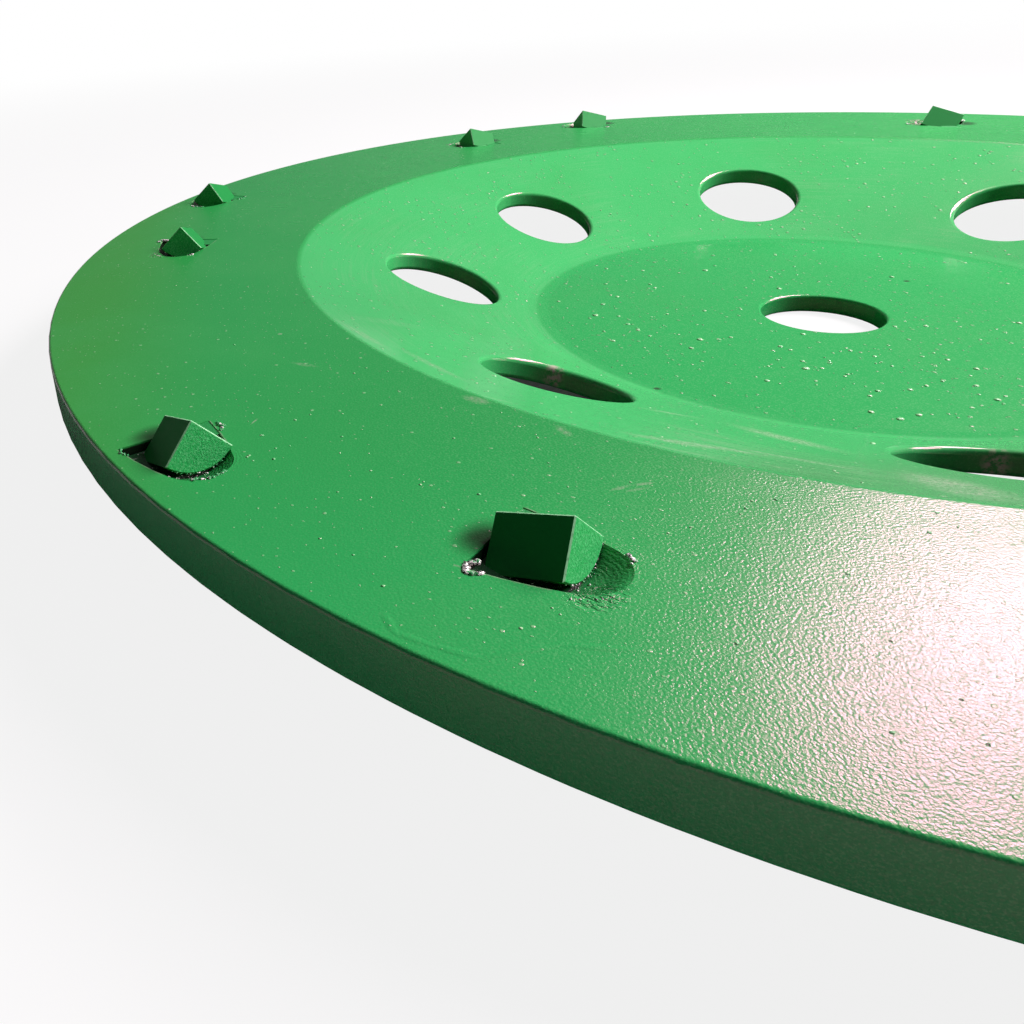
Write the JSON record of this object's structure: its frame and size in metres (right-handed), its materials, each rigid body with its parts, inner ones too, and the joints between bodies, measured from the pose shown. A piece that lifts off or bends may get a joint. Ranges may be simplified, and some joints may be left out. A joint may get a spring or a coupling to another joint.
{
  "type": "diamond cup wheel",
  "caption": "Dished steel cup wheel with quarter-round diamond cutters brazed round its flat rim, vent holes in the cone and a plain arbor bore, painted green",
  "frame": {"origin": "centre of the hub's back face, where the wheel's axis meets the flange seat", "axes": "+Z along the wheel's axis towards the working side, -Y towards the viewer of the picture, +X to that viewer's right"},
  "size_m": [0.3048, 0.3048, 0.0255],
  "materials": {
    "plate_paint": "sprayed enamel with orange peel",
    "cutter_paint": "sprayed enamel over tungsten carbide",
    "cutting_face_paint": "thin enamel over a granular diamond face",
    "braze_metal": "lumpy silver braze, partly overpainted"
  },
  "bodies": {
    "root": {"wheel_body": "plate_paint", "carbide_base_outer_1": "cutter_paint", "diamond_layer_outer_1": "cutting_face_paint", "braze_joint_outer_1": "braze_metal", "carbide_base_outer_2": "cutter_paint", "diamond_layer_outer_2": "cutting_face_paint", "braze_joint_outer_2": "braze_metal", "carbide_base_outer_3": "cutter_paint", "diamond_layer_outer_3": "cutting_face_paint", "braze_joint_outer_3": "braze_metal", "carbide_base_outer_4": "cutter_paint", "diamond_layer_outer_4": "cutting_face_paint", "braze_joint_outer_4": "braze_metal", "carbide_base_outer_5": "cutter_paint", "diamond_layer_outer_5": "cutting_face_paint", "braze_joint_outer_5": "braze_metal", "carbide_base_outer_6": "cutter_paint", "diamond_layer_outer_6": "cutting_face_paint", "braze_joint_outer_6": "braze_metal", "carbide_base_inner_1": "cutter_paint", "diamond_layer_inner_1": "cutting_face_paint", "braze_joint_inner_1": "braze_metal", "carbide_base_inner_2": "cutter_paint", "diamond_layer_inner_2": "cutting_face_paint", "braze_joint_inner_2": "braze_metal", "carbide_base_inner_3": "cutter_paint", "diamond_layer_inner_3": "cutting_face_paint", "braze_joint_inner_3": "braze_metal", "carbide_base_inner_4": "cutter_paint", "diamond_layer_inner_4": "cutting_face_paint", "braze_joint_inner_4": "braze_metal", "carbide_base_inner_5": "cutter_paint", "diamond_layer_inner_5": "cutting_face_paint", "braze_joint_inner_5": "braze_metal", "carbide_base_inner_6": "cutter_paint", "diamond_layer_inner_6": "cutting_face_paint", "braze_joint_inner_6": "braze_metal"}
  },
  "joints": []
}
